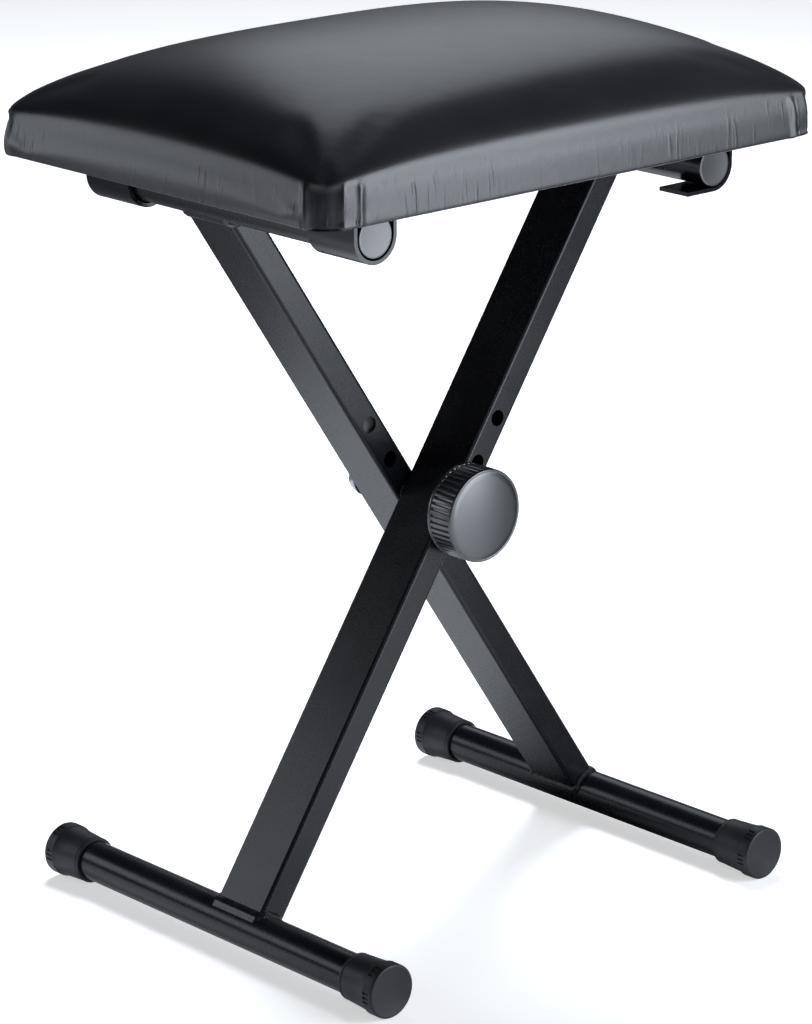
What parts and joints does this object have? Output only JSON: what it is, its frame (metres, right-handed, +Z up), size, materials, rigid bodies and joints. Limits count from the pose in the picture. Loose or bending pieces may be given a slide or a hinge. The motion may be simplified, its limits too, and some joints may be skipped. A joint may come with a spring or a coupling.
{
  "type": "folding keyboard bench",
  "caption": "Folding bench with a crowned padded seat on crossed steel legs, foot tubes with rubber caps, seat hooks and a screw knob at the pivot.",
  "frame": {"origin": "on the floor, under the middle of the seat", "axes": "+Z up; X along the seat's long side, square to the foot tubes; Y along the foot tubes, with the knob on the -Y side"},
  "size_m": [0.4, 0.3084, 0.5413],
  "materials": {
    "black_steel": "satin black powder coat",
    "bracket_steel": "satin black powder coat on bent strip",
    "black_screws": "black phosphate",
    "zinc_steel": "bright zinc plate",
    "insert_brass": "turned",
    "rubber": "moulded matt black",
    "knob_plastic": "satin moulded black",
    "plug_plastic": "moulded black",
    "nylon": "natural",
    "vinyl": "black grained artificial leather",
    "foam": "open cell foam",
    "plywood": "raw plywood",
    "lining": "black non-woven cloth"
  },
  "bodies": {
    "rear_frame": {"rear_leg_tube": "black_steel", "rear_leg_welds": "black_steel", "rear_leg_foot_tube": "black_steel", "seat_pivot_tube": "black_steel", "rear_leg_foot_cap_front": "rubber", "rear_leg_foot_cap_back": "rubber", "seat_pivot_tube_plug_front": "plug_plastic", "seat_pivot_tube_plug_back": "plug_plastic", "pivot_bolt": "zinc_steel", "bolt_washer": "zinc_steel", "leg_spacer": "nylon"},
    "front_frame": {"front_leg_tube": "black_steel", "front_leg_welds": "black_steel", "front_leg_foot_tube": "black_steel", "seat_hook_tube": "black_steel", "front_leg_foot_cap_front": "rubber", "front_leg_foot_cap_back": "rubber", "seat_hook_tube_plug_front": "plug_plastic", "seat_hook_tube_plug_back": "plug_plastic"},
    "seat": {"seat_cover": "vinyl", "seat_foam": "foam", "seat_board": "plywood", "dust_cover": "lining", "staples": "zinc_steel", "saddle_screws": "black_screws", "hook_screws": "black_screws", "saddle_strap_front": "bracket_steel", "saddle_strap_back": "bracket_steel", "saddle_plate_front": "bracket_steel", "saddle_plate_back": "bracket_steel", "hook_bracket_front": "bracket_steel", "hook_bracket_back": "bracket_steel"},
    "knob_collar": {"knob_washer": "zinc_steel"},
    "knob": {"knob_body": "knob_plastic", "knob_insert": "insert_brass"}
  },
  "joints": [
    {"name": "leg_fold", "type": "hinge", "parent": "rear_frame", "child": "front_frame", "pos_m": [0, 0, 0.25181], "axis": [0, 1, 0], "range_deg": [-54, 0]},
    {"name": "seat_hinge", "type": "hinge", "parent": "rear_frame", "child": "seat", "pos_m": [-0.1365, 0, 0.4554], "axis": [0, 1, 0], "range_deg": [-27, 0]},
    {"name": "knob_backoff", "type": "slide", "parent": "rear_frame", "child": "knob_collar", "axis": [0, -1, 0], "range_m": [0, 0.0045]},
    {"name": "knob_turn", "type": "hinge", "parent": "knob_collar", "child": "knob", "pos_m": [0, -0.05, 0.25181], "axis": [0, -1, 0], "range_deg": [0, 1080]}
  ],
  "couplings": [
    {"joint": "seat_hinge", "follows": "leg_fold", "ratio": 0.5},
    {"joint": "knob_backoff", "follows": "knob_turn", "m_per_rad": 0.00023873}
  ]
}
